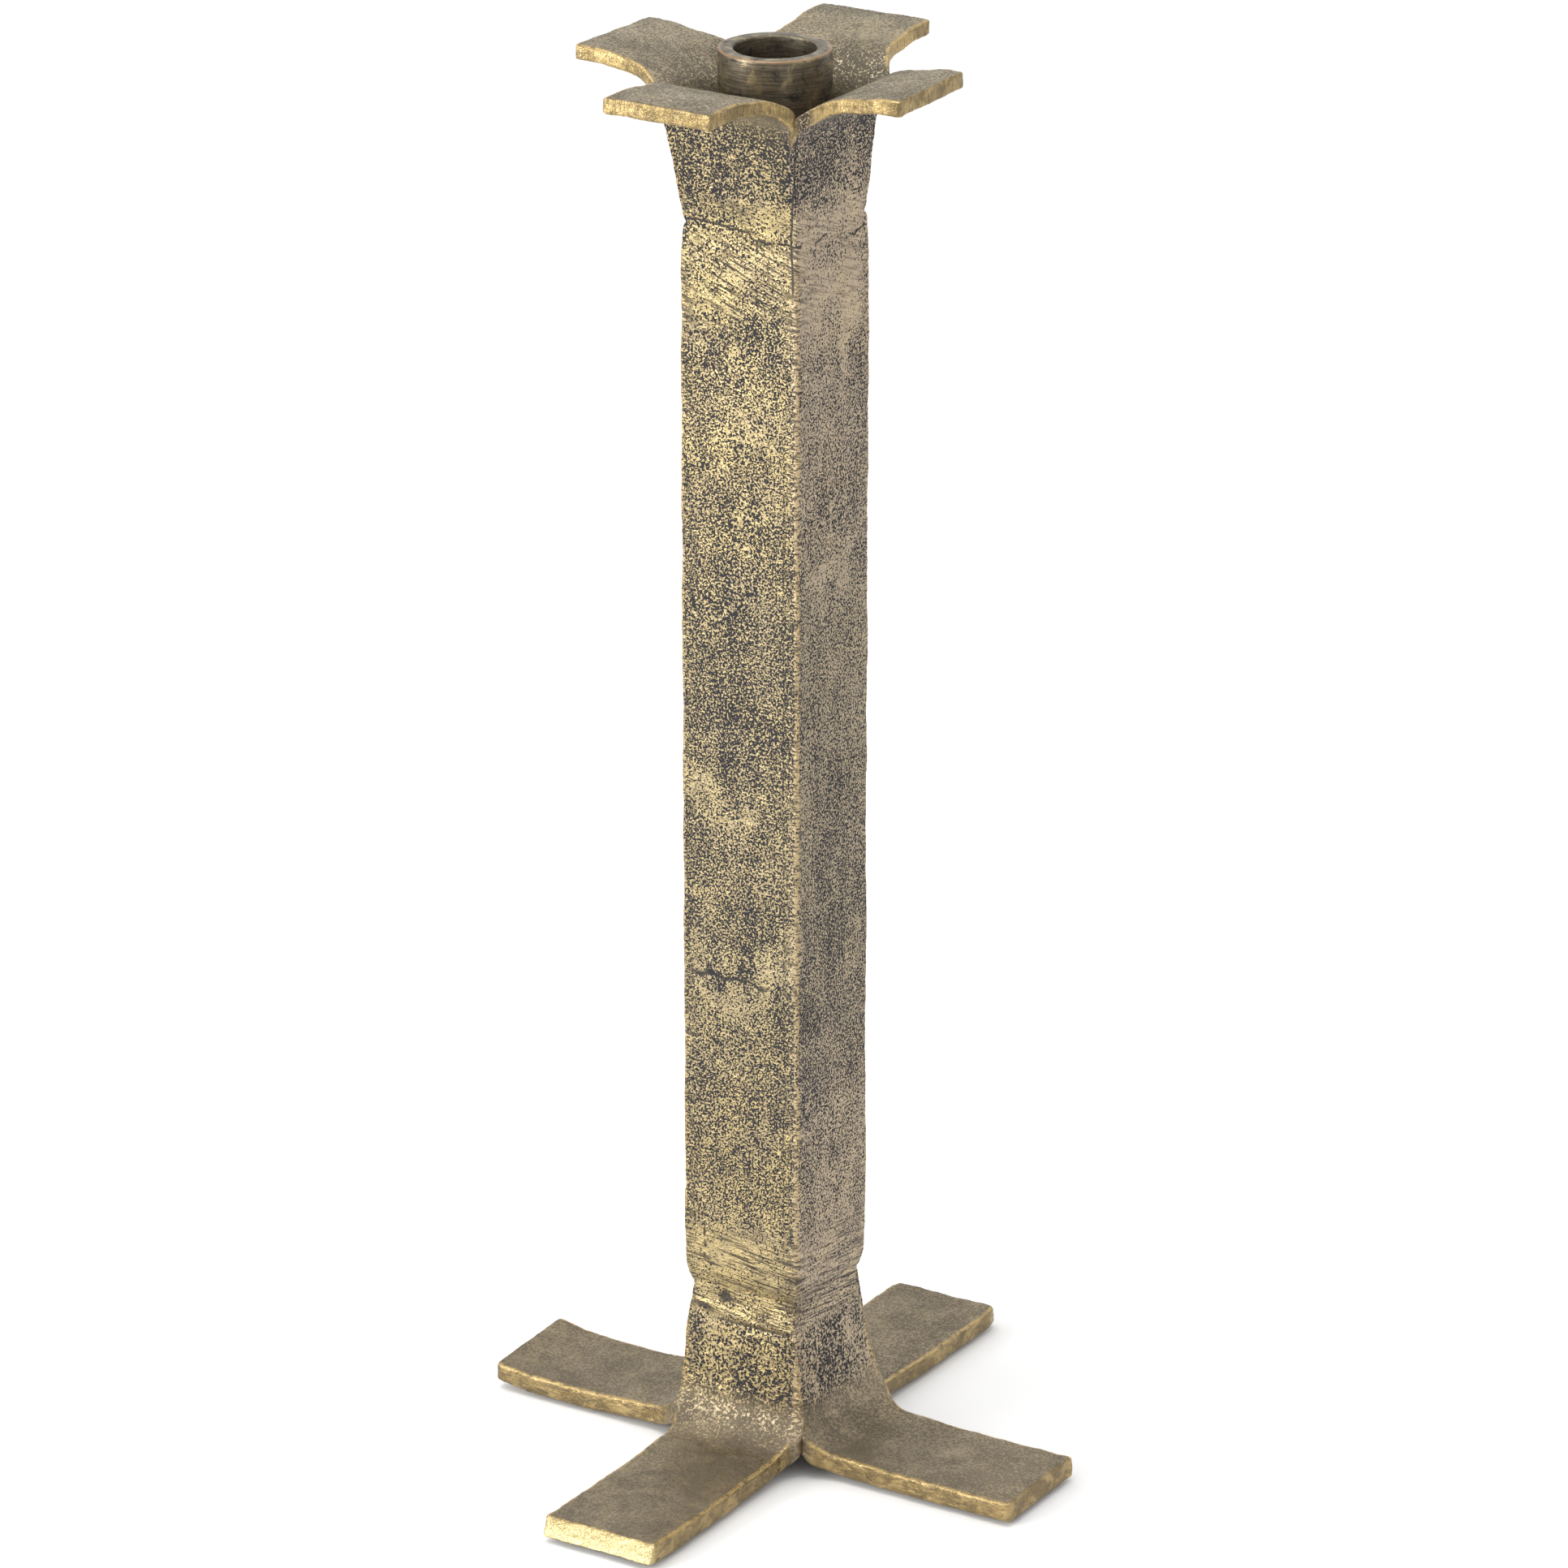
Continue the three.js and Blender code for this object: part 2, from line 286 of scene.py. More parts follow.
def lay_plate(name, stations, columns, fit):
    """Extrudes a plate along its stations; fit gives the place of one vertex of a section."""
    bpy.ops.object.select_all(action="DESELECT")
    r, z = stations[0][:2]
    bpy.ops.mesh.primitive_grid_add(x_subdivisions=3, y_subdivisions=columns, size=1)
    piece = bpy.context.object
    piece.name = name
    bpy.ops.object.mode_set(mode="EDIT")
    bm = bmesh.from_edit_mesh(piece.data)
    across = bm.verts.layers.float.new("across")
    depth = bm.verts.layers.float.new("depth")
    tip = bm.verts.layers.float.new("tip")
    for vertex in bm.verts:
        vertex[across] = vertex.co.y * 2
        vertex[depth] = vertex.co.x * 2
    for number, station in enumerate(stations):
        if number:
            step = (station[0] - r, 0, station[1] - z)
            bpy.ops.mesh.extrude_region_move(TRANSFORM_OT_translate={"value": step})
            bm = bmesh.from_edit_mesh(piece.data)
            across = bm.verts.layers.float["across"]
            depth = bm.verts.layers.float["depth"]
            tip = bm.verts.layers.float["tip"]
        for vertex in bm.verts:
            if vertex.select:
                vertex.co = fit(station, vertex[across], vertex[depth])
                vertex[tip] = float(number == len(stations) - 1)
        r, z = station[:2]
    bmesh.update_edit_mesh(piece.data)
    bpy.ops.object.mode_set(mode="OBJECT")
    face_outwards(piece)
    return piece


def at_edge(across):
    """Whether a vertex is on one of its plate's two side edges."""
    return abs(across) > 0.999


def at_face(depth):
    """Whether a vertex is on its plate's outer or inner face."""
    return abs(depth) > 0.9


def keep_crisp(piece, wanted):
    """Creases the edges whose two ends both pass the test."""
    bm = bmesh.new()
    bm.from_mesh(piece.data)
    across = bm.verts.layers.float["across"]
    depth = bm.verts.layers.float["depth"]
    crease = bm.edges.layers.float.get("crease_edge") or bm.edges.layers.float.new("crease_edge")
    for edge in bm.edges:
        ends = [(v.co, v[across], v[depth]) for v in edge.verts]
        if all(wanted(*end) for end in ends):
            edge[crease] = 1.0
    bm.to_mesh(piece.data)
    bm.free()


def keep_mitres_crisp(piece, web):
    """Creases a foot's or petal's edges where it meets its neighbours, up to the web."""
    keep_crisp(piece, lambda co, across, depth: at_edge(across) and at_face(depth)
               and co.x < web - 0.3 * MM)


def corner_leans(table, side):
    """How far a side's two corners lean out, each with what the side it meets there leans."""
    order = list(SIDES)
    place = order.index(side)
    before, after = order[place - 1], order[(place + 1) % 4]
    own = table[side]["leans"]
    return own, (table[before]["leans"][1], table[after]["leans"][0])


class Plan:
    """Half width of a foot or petal at a distance from the shaft's axis."""

    def __init__(self, web, width, reach, tip_round):
        self.web = web
        self.half = width / 2
        self.reach = reach
        self.tip = tip_round
        self.round = (web - self.half) / (1 - math.sqrt(0.5))

    def __call__(self, r, overlap=0.0):
        centre = self.half + self.round
        if centre - r >= self.round:
            return r + overlap
        if r < centre:
            arc = centre - math.sqrt(self.round ** 2 - (centre - r) ** 2)
            return min(r + overlap, arc)
        past = min(max(r - (self.reach - self.tip), 0), self.tip)
        return self.half - (self.tip - math.sqrt(self.tip ** 2 - past ** 2))

    def mitre(self, r):
        return 1 - smooth((r - self.web + 0.5 * MM) / (2.5 * MM))


def bent_section(plan, outward, leans, lean_share, tip_shift):
    """Returns the rule that fits a bent plate's section; outward is 1 for feet, -1 for petals."""
    shape = settings().shape
    rim, corner = shape.rim * 1.2, shape.corner
    own, met = leans
    mean = sum(own) / 2
    lap = 0.12 * MM

    def fit(station, across, depth):
        r, z, tilt, thickness = station
        normal = Vector((-math.sin(tilt), math.cos(tilt))) * outward
        half = thickness / 2
        place = (across + 1) / 2
        share = lean_share(r, z)
        lean = (mix(own[0], own[1], place) - mean) * share
        step_over = (mix(met[0], met[1], place) - mix(own[0], own[1], place)) * share
        edge = at_edge(across)
        outer = at_face(depth) and depth > 0
        n = math.copysign(half if at_face(depth) else half - min(rim, half * 0.6), depth)
        at = r + n * normal.x + lean
        mitre = plan.mitre(at)
        if edge and outer:
            cut = 0.293 * corner * mitre
            n -= cut + lap * mitre
            width = plan(at) - cut + lap * mitre
        elif edge:
            width = plan(at, 0.8 * MM)
        else:
            width = (plan(at) - mix(rim, corner, mitre)) * min(abs(across) / 0.9, 1)
        width += step_over * mitre * abs(across)
        out, up = tip_shift(r, across, depth)
        return Vector((r + n * normal.x + lean + out, math.copysign(width, across),
                       z + n * normal.y + up))

    return fit


def add_bend(stations, bend, outward, thickness):
    """A quarter turn off the last station, outwards and down for 1, outwards and up for -1."""
    start, turn_z, _, wall = stations[-1]
    turns = 10
    for step in range(1, turns + 1):
        angle = math.pi / 2 * step / turns
        stations.append((start + bend - bend * math.cos(angle),
                         turn_z - outward * bend * math.sin(angle),
                         outward * (angle - math.pi / 2), mix(wall, thickness, step / turns)))


def add_flange(stations, reach, level, ease, spacing, thickness):
    """The flat part out to the tip, easing to its own level and thickness."""
    start = stations[-1]
    rows = max(3, round((reach - start[0]) / spacing))
    for row in range(1, rows + 1):
        r = mix(start[0], reach - 0.9 * MM, row / rows)
        z = mix(start[1], level, smooth((r - start[0]) / ease))
        stations.append((r, z, 0.0, mix(start[3], thickness, row / rows)))
    stations.append((reach - 0.1 * MM, stations[-1][1], 0.0, thickness * 0.97))


def reach_of(node):
    """How far out a foot or petal goes, kept a little inside its box."""
    low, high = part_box(node)
    return max(abs(v) for v in (low.x, low.y, high.x, high.y)) - 0.5 * MM


def turn_to(piece, side):
    piece.rotation_euler.z = math.radians(SIDES[side])
    settle(piece)


# ---------------------------------------------------------------- feet

def foot_lean(z):
    return min(max((36 * MM - z) / (18 * MM), 0), 1) ** 2


def foot_face(z, flare):
    """The neck's outer face, sunk at the seam and leaning out towards the foot."""
    seam = 1.25 * MM * hump(z, LOWER_SEAM, 13 * MM, 5 * MM)
    inset = 0.25 * MM * smooth((z - 30 * MM) / (8 * MM))
    return SHAFT_HALF - seam - inset + flare * foot_lean(z)


def foot_stations(foot, reach, flare):
    level = PAD_TOP + 0.3 * MM + foot["thickness"] / 2
    bend = settings().shape.foot_bend
    turn_z = level + bend + 0.8 * MM
    rows = 9
    stations = []
    for row in range(rows + 1):
        z = mix(LOWER_SEAM + 0.6 * MM, turn_z, row / rows)
        stations.append((foot_face(z, flare) - WALL / 2, z, -math.pi / 2, WALL))
    add_bend(stations, bend, 1, foot["thickness"])
    add_flange(stations, reach, level, 18 * MM, 4 * MM, foot["thickness"])
    return stations


def make_foot(side, material):
    foot = FEET[side]
    reach = reach_of(f"foot_{side}")
    leans = corner_leans(FEET, side)
    flare = sum(leans[0]) / 2
    plan = Plan(SHAFT_HALF + flare + 1.4 * MM, foot["width"], reach, foot["round"])

    def lean_share(r, z):
        return foot_lean(z) * (1 - smooth((r - SHAFT_HALF - 1 * MM) / (14 * MM)))

    def tip_shift(r, across, depth):
        near_tip = max(0, 1 - (reach - r) / (18 * MM)) ** 2
        cut_back = foot["slope"] * (1 + depth) / 2 * smooth((r - reach + 3 * MM) / (2.5 * MM))
        return -cut_back, (foot["lift"] + foot["twist"] * (1 - across) / 2) * near_tip

    fit = bent_section(plan, 1, leans, lean_share, tip_shift)
    piece = lay_plate(f"cast_foot_{side}", foot_stations(foot, reach, flare), 11, fit)
    keep_mitres_crisp(piece, plan.web)
    turn_to(piece, side)
    roughen(piece, 3, swell=0.55)
    mark_front(piece)
    smooth_shading(piece)
    hand_over(piece, material, "brass", f"foot_{side}")


# ---------------------------------------------------------------- petals

def petal_lean(z):
    return min(max((z - 356 * MM) / (20 * MM), 0), 1.3) ** 1.5


def petal_face(z, flare):
    """The neck's outer face, sunk at the seam and leaning out towards the petal."""
    return SHAFT_HALF - 0.6 * MM * hump(z, UPPER_SEAM, 9 * MM, 9 * MM) + flare * petal_lean(z)


def petal_stations(petal, reach, flare):
    shape = settings().shape
    thick = shape.petal_thickness
    level = CUP_HIGH.z - petal["drop"] - thick / 2
    turn_z = level - shape.petal_bend - 1.4 * MM
    rows = 8
    stations = []
    for row in range(rows + 1):
        z = mix(UPPER_SEAM - 0.6 * MM, turn_z, row / rows)
        wall = mix(shape.neck_wall, shape.neck_wall + 0.3 * MM, row / rows)
        stations.append((petal_face(z, flare) - wall / 2, z, math.pi / 2, wall))
    add_bend(stations, shape.petal_bend, -1, thick - 0.5 * MM)
    add_flange(stations, reach, level, 8 * MM, 3.5 * MM, thick)
    return stations


def make_petal(side, material):
    petal = PETALS[side]
    reach = reach_of(f"petal_{side}")
    leans = corner_leans(PETALS, side)
    flare = sum(leans[0]) / 2
    plan = Plan(SHAFT_HALF + flare + 2.4 * MM, petal["width"], reach, 0.6 * MM)

    def lean_share(r, z):
        return petal_lean(z) * (1 - smooth((r - SHAFT_HALF - 1 * MM) / (14 * MM)))

    def tip_shift(r, across, depth):
        longer = mix(*petal["longer"], (across + 1) / 2)
        root = SHAFT_HALF + 4 * MM
        return longer * smooth((r - root) / (reach - root)), 0

    fit = bent_section(plan, -1, leans, lean_share, tip_shift)
    piece = lay_plate(f"cast_petal_{side}", petal_stations(petal, reach, flare), 11, fit)
    keep_mitres_crisp(piece, plan.web)
    turn_to(piece, side)
    roughen(piece, 3, swell=0.5)
    smooth_shading(piece)
    hand_over(piece, material, "brass", f"petal_{side}")


# ---------------------------------------------------------------- shaft walls and seams

def shaft_face(z):
    """How far the shaft's faces are sunk near its two seams."""
    lower = 1.4 * MM * hump(z, LOWER_SEAM, 5 * MM, 5.5 * MM)
    upper = 0.6 * MM * hump(z, UPPER_SEAM, 10 * MM, 9 * MM)
    return lower + upper


def wall_stations(spacing):
    low, high = LOWER_SEAM + 0.3 * MM, UPPER_SEAM - 0.3 * MM
    rows = round((high - low) / spacing)
    stations = []
    for row in range(rows + 1):
        z = mix(low, high, row / rows)
        sunk = shaft_face(z)
        stations.append((SHAFT_HALF - WALL / 2 - sunk / 2, z, math.pi / 2, WALL - sunk))
    return stations


def make_wall(side, material):
    shape = settings().shape
    covers = side in ("left", "right")
    half_width = SHAFT_HALF if covers else SHAFT_HALF - WALL + 0.05 * MM

    def fit(station, across, depth):
        r, z, _, thickness = station
        edge = at_edge(across)
        half = thickness / 2
        n = math.copysign(half if at_face(depth) else half - shape.corner, depth)
        reach = half_width - shaft_face(z) if covers else half_width
        width = reach if edge else (reach - shape.corner) * min(abs(across) / 0.9, 1)
        return Vector((r + n, math.copysign(width, across), z))

    columns = 15 if covers else 11
    piece = lay_plate(f"cast_shaft_wall_{side}", wall_stations(2.4 * MM), columns, fit)
    keep_crisp(piece, lambda co, across, depth: at_edge(across) and at_face(depth)
               and (depth < 0 or not covers))
    turn_to(piece, side)
    roughen(piece, 2, swell=0.55, ripple=0.8)
    mark_front(piece)
    smooth_shading(piece)
    hand_over(piece, material, "brass", f"shaft_wall_{side}")


def make_seam(name, level, height, sunk, material):
    """A square tube drawn out of a cube, rounded at its corners and given a wall."""
    shape = settings().shape
    bpy.ops.object.select_all(action="DESELECT")
    half = SHAFT_HALF - sunk
    bpy.ops.mesh.primitive_cube_add(size=1, location=(0, 0, level),
                                    scale=(2 * half, 2 * half, height))
    piece = bpy.context.object
    piece.name = f"dressed_{name}"
    settle(piece)
    bpy.ops.object.mode_set(mode="EDIT")
    bpy.ops.mesh.select_all(action="DESELECT")
    bm = bmesh.from_edit_mesh(piece.data)
    for face in bm.faces:
        face.select = abs(face.normal.z) > 0.5
    bpy.ops.mesh.delete(type="FACE")
    bm = bmesh.from_edit_mesh(piece.data)
    for edge in bm.edges:
        upright = abs(edge.verts[0].co.z - edge.verts[1].co.z) > height / 2
        edge.select = upright
    bpy.ops.mesh.bevel(offset=shape.corner, segments=4, affect="EDGES")
    bpy.ops.mesh.select_all(action="SELECT")
    bpy.ops.mesh.subdivide(number_cuts=7)
    bpy.ops.object.mode_set(mode="OBJECT")
    wall = piece.modifiers.new("Wall", "SOLIDIFY")
    wall.thickness = WALL - 0.6 * MM
    wall.offset = -1
    apply_modifiers(piece)
    face_outwards(piece)
    roughen(piece, 2, swell=0.55, ripple=0.8)
    mark_front(piece)
    smooth_shading(piece)
    hand_over(piece, material, "weld", name)


# ---------------------------------------------------------------- cup

def make_cup(material):
    """A ring turned from one outline: up the outside, over the rim and down the bore."""
    low, high = CUP_LOW.z, CUP_HIGH.z - 0.15 * MM
    outer = CUP_HIGH.x
    bore = 11 * MM
    floor = low + 4 * MM
    lip = 0.55 * MM
    hole, sink = 2.3 * MM, 4.3 * MM
    outline = [
        (outer, low), (outer, low + 0.6 * MM), (outer, low + 9 * MM), (outer, low + 18 * MM),
        (outer, high - 2 * lip), (outer - 0.1 * lip, high - 0.6 * lip),
        (outer - 0.6 * lip, high - 0.1 * lip), (outer - 1.6 * lip, high),
        (bore + 1.6 * lip, high), (bore + 0.6 * lip, high - 0.15 * lip),
        (bore + 0.1 * lip, high - 0.7 * lip), (bore, high - 2 * lip),
        (bore, low + 18 * MM), (bore, low + 9 * MM), (bore, floor + 0.6 * MM), (bore, floor),
        (bore - 0.6 * MM, floor), (sink + 0.1 * MM, floor), (sink, floor),
        (hole, floor - 2 * MM), (hole, low + 0.2 * MM), (hole, low), (hole + 0.6 * MM, low),
        (outer - 0.6 * MM, low),
    ]
    bpy.ops.object.select_all(action="DESELECT")
    bpy.ops.mesh.primitive_circle_add(vertices=72, radius=outline[0][0],
                                      location=(0, 0, outline[0][1]))
    piece = bpy.context.object
    piece.name = "turned_candle_cup"
    settle(piece)
    bpy.ops.object.mode_set(mode="EDIT")
    bpy.ops.mesh.select_all(action="SELECT")
    for (r, z), (next_r, next_z) in zip(outline, outline[1:]):
        bpy.ops.mesh.extrude_region_move(TRANSFORM_OT_translate={"value": (0, 0, next_z - z)})
        share = next_r / r
        bpy.ops.transform.resize(value=(share, share, 1), center_override=(0, 0, next_z))
    bm = bmesh.from_edit_mesh(piece.data)
    for edge in bm.edges:
        edge.select = edge.is_boundary
    bpy.ops.mesh.bridge_edge_loops()
    bpy.ops.object.mode_set(mode="OBJECT")
    face_outwards(piece)
    roughen(piece, 2, swell=0.12, ripple=0.2, pitting=0.3)
    smooth_shading(piece)
    hand_over(piece, material, "cup", "candle_cup")


# ---------------------------------------------------------------- materials

class Nodes:
    """Short calls for building one material's nodes."""

    def __init__(self, name):
        self.material = bpy.data.materials.new(name)
        self.material.use_nodes = True
        self.tree = self.material.node_tree
        self.shader = self.tree.nodes["Principled BSDF"]
        self.place = self.tree.nodes.new("ShaderNodeTexCoord").outputs["Object"]

    def link(self, source, target):
        if isinstance(source, (int, float)):
            target.default_value = source
        elif isinstance(source, tuple):
            target.default_value = (*source, 1)
        else:
            self.tree.links.new(source, target)

    def math(self, kind, a, b=0.0):
        node = self.tree.nodes.new("ShaderNodeMath")
        node.operation = kind
        self.link(a, node.inputs[0])
        self.link(b, node.inputs[1])
        return node.outputs[0]

    def times(self, a, b):
        return self.math("MULTIPLY", a, b)

    def plus(self, a, b):
        return self.math("ADD", a, b)

    def rest(self, share):
        return self.math("SUBTRACT", 1.0, share)

    def most(self, first, *others):
        """The largest of the values."""
        for other in others:
            first = self.math("MAXIMUM", first, other)
        return first

    def ramp(self, value, low, high, out_low=0.0, out_high=1.0):
        node = self.tree.nodes.new("ShaderNodeMapRange")
        node.interpolation_type = "SMOOTHSTEP"
        self.link(value, node.inputs["Value"])
        node.inputs["From Min"].default_value = low
        node.inputs["From Max"].default_value = high
        node.inputs["To Min"].default_value = out_low
        node.inputs["To Max"].default_value = out_high
        return node.outputs[0]

    def noise(self, per_mm, detail=2.0, rough=0.5, distort=0.0, vector=None):
        node = self.tree.nodes.new("ShaderNodeTexNoise")
        node.inputs["Scale"].default_value = per_mm * 1000
        node.inputs["Detail"].default_value = detail
        node.inputs["Roughness"].default_value = rough
        node.inputs["Distortion"].default_value = distort
        self.link(vector or self.place, node.inputs["Vector"])
        return node.outputs["Fac"]

    def blend(self, share, a, b):
        node = self.tree.nodes.new("ShaderNodeMix")
        node.data_type = "RGBA"
        self.link(share, node.inputs["Factor"])
        self.link(a, node.inputs["A"])
        self.link(b, node.inputs["B"])
        return node.outputs["Result"]

    def axes(self):
        node = self.tree.nodes.new("ShaderNodeSeparateXYZ")
        self.link(self.place, node.inputs[0])
        return node.outputs

    def joined(self, x, y, z):
        node = self.tree.nodes.new("ShaderNodeCombineXYZ")
        for source, target in zip((x, y, z), node.inputs):
            self.link(source, target)
        return node.outputs[0]

    def attribute(self, name):
        node = self.tree.nodes.new("ShaderNodeAttribute")
        node.attribute_name = name
        return node.outputs["Fac"]

    def band(self, value, centre, inner, outer):
        """1 within inner of the centre, easing to 0 at outer."""
        away = self.math("ABSOLUTE", self.math("SUBTRACT", value, centre))
        return self.ramp(away, inner, outer, 1.0, 0.0)

    def bump(self, height, distance, strength=1.0, over=None):
        node = self.tree.nodes.new("ShaderNodeBump")
        node.inputs["Distance"].default_value = distance
        node.inputs["Strength"].default_value = strength
        self.link(height, node.inputs["Height"])
        if over is not None:
            self.link(over, node.inputs["Normal"])
        return node.outputs[0]


def squeezed(nodes, x_share, y_share, z_share, tilt=0.0):
    """Object coordinates stretched along some axes and, with a tilt, sloped down to the right."""
    x, y, z = nodes.axes()
    if tilt:
        z = nodes.plus(z, nodes.times(nodes.plus(x, y), tilt))
    return nodes.joined(nodes.times(x, x_share), nodes.times(y, y_share), nodes.times(z, z_share))


def ground_zones(nodes):
    """Where the metal was ground back along the two seams, and the lines the grinding left."""
    _, y, z = nodes.axes()
    lower = nodes.times(nodes.ramp(z, 39 * MM, 43 * MM), nodes.ramp(z, 62 * MM, 72 * MM, 1.0, 0.0))
    upper = nodes.band(z, 343 * MM, 11 * MM, 24 * MM)
    patches = nodes.ramp(nodes.noise(0.06, detail=2, rough=0.5), 0.36, 0.58)
    low_lines = nodes.noise(1.9, 3, 0.6, 0.12, vector=squeezed(nodes, 0.05, 0.05, 1, 0.10))
    high_lines = nodes.noise(1.9, 3, 0.6, 0.12, vector=squeezed(nodes, 0.07, 0.07, 1, 0.34))
    low_ground = nodes.times(lower, nodes.plus(nodes.times(patches, 0.5), 0.5))
    high_ground = nodes.times(upper, patches)
    low_marks = nodes.times(nodes.ramp(low_lines, 0.52, 0.60), low_ground)
    front = nodes.ramp(y, -SHAFT_HALF + 1 * MM, -SHAFT_HALF + 2 * MM, 1.0, 0.45)
    high_marks = nodes.times(nodes.ramp(high_lines, 0.51, 0.60), nodes.times(high_ground, front))
    return nodes.most(low_ground, high_ground), nodes.most(low_marks, high_marks)


def wavy_line(nodes, along, across, centre, start, end, wander, width):
    """A dark line at one value of across, wandering as it goes, broken off at its two ends.

    Its sizes are in millimetres.
    """
    swerve = nodes.math("SUBTRACT", nodes.noise(0.14, 3, 0.5), 0.5)
    swerve = nodes.times(swerve, wander * MM)
    line = nodes.band(nodes.plus(across, swerve), centre * MM, width * 0.3 * MM, width * MM)
    kept = nodes.times(nodes.ramp(along, (start - 3) * MM, (start + 3) * MM),
                       nodes.ramp(along, (end - 3) * MM, (end + 3) * MM, 1.0, 0.0))
    return nodes.times(line, kept)


def spot(nodes, centre, radius):
    """1 round a point, fading raggedly to 0 at the radius."""
    away = nodes.tree.nodes.new("ShaderNodeVectorMath")
    away.operation = "DISTANCE"
    nodes.link(nodes.place, away.inputs[0])
    away.inputs[1].default_value = centre
    ragged = nodes.times(nodes.math("SUBTRACT", nodes.noise(0.7, 3, 0.6), 0.5), radius * 1.6)
    return nodes.ramp(nodes.plus(away.outputs["Value"], ragged), radius * 0.4, radius, 1.0, 0.0)


def front_lines(nodes):
    """The crack and the casting's joint lines on the front face."""
    x, y, z = nodes.axes()
    specks = nodes.ramp(nodes.noise(0.7, 3), 0.44, 0.54)
    crack = wavy_line(nodes, x, z, 142.5, -16, 9, 8, 0.75)
    low = nodes.times(wavy_line(nodes, z, x, -11.6, 56, 71, 2.5, 0.5), specks)
    joint = nodes.times(wavy_line(nodes, z, x, 14, 60, 290, 1.2, 0.4), nodes.times(specks, 0.75))
    step = nodes.times(wavy_line(nodes, x, z, 40, -9, 15, 1.5, 0.6), 0.8)
    corner = wavy_line(nodes, z, nodes.plus(x, y), -1.6, 338, 388, 1.2, 0.45)
    return nodes.most(crack, low, joint, step, corner)


def cracks(nodes):
    """The dark lines in the brass, and the dark dent low on the front."""
    x, y, z = nodes.axes()
    front = nodes.ramp(y, -SHAFT_HALF + 2 * MM, -SHAFT_HALF + 1 * MM, 0.0, 1.0)
    sloped = nodes.plus(z, nodes.times(nodes.plus(x, y), 0.08))
    broken = nodes.most(nodes.ramp(nodes.noise(0.09, 2, 0.5), 0.42, 0.5),
                        nodes.times(front, nodes.ramp(x, 4 * MM, 9 * MM, 1.0, 0.0)))
    upper = nodes.times(wavy_line(nodes, x, sloped, 352.5, -30, 30, 7, 0.55), broken)
    dark = nodes.most(upper, nodes.times(front_lines(nodes), front))
    return nodes.most(dark, spot(nodes, DENT, 2.9 * MM))


def clusters(nodes):
    """Places where the pits crowd together, each with its radius in millimetres."""
    spots = ((-8, -18, 141, 5), (7, -18, 334, 11), (12, -18, 104, 4), (18, 3, 196, 7),
             (-37, -5.6, 397, 3), (36.5, -4.3, 396, 2.2))
    return nodes.most(*(spot(nodes, (x * MM, y * MM, z * MM), radius * MM)
                        for x, y, z, radius in spots))


def darker(colour, share):
    return tuple(channel * share for channel in colour)


class BrassZones:
    """Masks over the candlestick that the cast brass is mixed from.

    far is a place's distance from the shaft's axis along X or Y, whichever is larger.
    """

    def __init__(self, nodes, rims):
        x, y, z = nodes.axes()
        out_x = nodes.math("ABSOLUTE", x)
        out_y = nodes.math("ABSOLUTE", y)
        self.far = nodes.most(out_x, out_y)
        self.below = nodes.ramp(z, 36 * MM, 41 * MM, 1.0, 0.0)
        self.middle = nodes.band(z, 190 * MM, 40 * MM, 105 * MM)
        self.crown = nodes.ramp(z, 340 * MM, 360 * MM)
        self.mask_edges(nodes, nodes.math("MINIMUM", out_x, out_y), z)
        self.mask_necks(nodes, x, z)
        self.mask_spread(nodes, z, rims)
        self.ground, self.scored = ground_zones(nodes)

    def mask_edges(self, nodes, near, z):
        """The shaft's upright corners, and the margins of its faces beside them."""
        upright = nodes.ramp(self.far, SHAFT_HALF + 2.5 * MM, SHAFT_HALF + 6 * MM, 1.0, 0.0)
        upright = nodes.times(upright, nodes.ramp(z, 346 * MM, 353 * MM, 1.0, 0.15))
        ridge = nodes.ramp(near, SHAFT_HALF - 1.3 * MM, SHAFT_HALF - 0.6 * MM)
        self.ridge = nodes.times(upright, ridge)
        margin = nodes.ramp(near, SHAFT_HALF - 6 * MM, SHAFT_HALF - 1.5 * MM)
        self.margin = nodes.times(upright, margin)

    def mask_necks(self, nodes, x, z):
        """The right face, greyed as painted shade, and the shadowed arch under the petals, where
        the extra pits are partly painted shade.
        """
        neck = nodes.ramp(self.far, SHAFT_HALF + 5 * MM, SHAFT_HALF + 10 * MM, 1.0, 0.0)
        # Painted shade: the shaft's right face is greyed, as the side turned away from the key
        # light.
        right = nodes.ramp(x, SHAFT_HALF - 2.2 * MM, SHAFT_HALF - 1.2 * MM)
        self.right_face_shade = nodes.times(right, neck)
        # More pits under the petals' arch: partly real pits, partly painted shade.
        self.arch = nodes.times(nodes.ramp(z, 352 * MM, 380 * MM), neck)

    def mask_spread(self, nodes, z, rims):
        """The feet and petals, and the inner side of any plate that carries rims, which takes
        their browner colour as painted shade on the undersides.
        """
        out = nodes.ramp(self.far, SHAFT_HALF + 1.5 * MM, SHAFT_HALF + 11 * MM)
        self.spread = nodes.most(out, nodes.ramp(z, 13 * MM, 24 * MM, 1.0, 0.0))
        if rims:
            # Painted shade: inner sides and undersides take the darker, browner colour of the feet
            # and petals.
            inside = nodes.ramp(nodes.attribute("depth"), -0.9, -0.5, 1.0, 0.0)
            self.spread = nodes.most(self.spread, inside)


